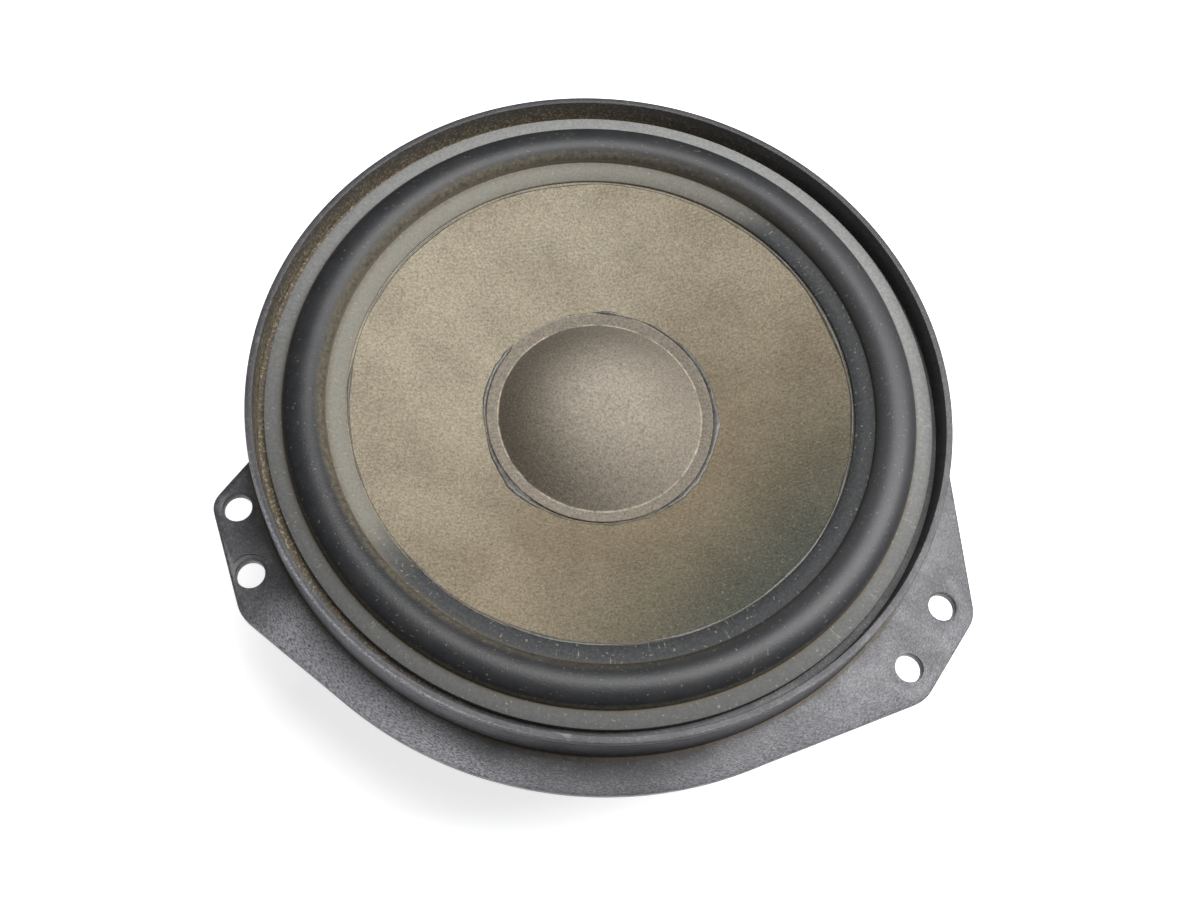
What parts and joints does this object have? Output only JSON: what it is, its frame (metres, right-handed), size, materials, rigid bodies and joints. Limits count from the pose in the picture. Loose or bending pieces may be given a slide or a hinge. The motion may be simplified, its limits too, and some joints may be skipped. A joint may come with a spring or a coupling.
{
  "type": "car door loudspeaker",
  "caption": "Round door loudspeaker: plastic basket with two drilled ears, rubber half-roll surround, felt-faced cone, domed dust cap and ring-magnet motor.",
  "frame": {"origin": "centre of the motor's flat rear face", "axes": "+Z along the cone's axis towards the listener; the two fixing ears lie towards -Y"},
  "size_m": [0.1769, 0.1754, 0.065],
  "materials": {
    "black_plastic": "moulded glass-filled plastic, satin",
    "foam": "open-cell foam",
    "rubber": "satin",
    "spider_cloth": "resin-stiffened open weave",
    "clear_glue": "cured amber adhesive",
    "zinc_steel": "zinc plated",
    "ferrite": "sintered and ground",
    "connector_plastic": "satin",
    "cone_felt": "pressed paper with a felt face, dusty",
    "cap_felt": "felt, dusty",
    "dark_glue": "cured black adhesive",
    "former_foil": "foil",
    "kraft_paper": "kraft paper",
    "copper_wire": "enamelled copper wire",
    "tinned_brass": "tin plated",
    "solder": "bright",
    "tinsel_braid": "braided tinsel"
  },
  "bodies": {
    "frame": {"basket": "black_plastic", "flange_seal": "foam", "surround": "rubber", "spider": "spider_cloth", "spider_glue": "clear_glue", "top_plate": "zinc_steel", "magnet": "ferrite", "yoke": "zinc_steel", "motor_screw_1": "zinc_steel", "motor_screw_2": "zinc_steel", "motor_screw_3": "zinc_steel", "motor_screw_4": "zinc_steel", "terminal_block": "connector_plastic", "terminal_positive": "tinned_brass", "terminal_solder_positive": "solder", "lead_positive": "tinsel_braid", "terminal_negative": "tinned_brass", "terminal_solder_negative": "solder", "lead_negative": "tinsel_braid"},
    "diaphragm": {"cone": "cone_felt", "dust_cap": "cap_felt", "dust_cap_glue": "dark_glue", "surround_glue": "dark_glue", "voice_coil_former": "former_foil", "former_collar": "kraft_paper", "voice_coil_winding": "copper_wire", "neck_glue": "clear_glue", "lead_joint_positive": "clear_glue", "lead_joint_negative": "clear_glue"}
  },
  "joints": [
    {"name": "cone_travel", "type": "slide", "parent": "frame", "child": "diaphragm", "axis": [0, 0, 1], "range_m": [-0.004, 0.004], "stiffness_N_per_m": 1250, "deforming": ["surround", "spider", "lead_positive", "lead_negative"]}
  ]
}
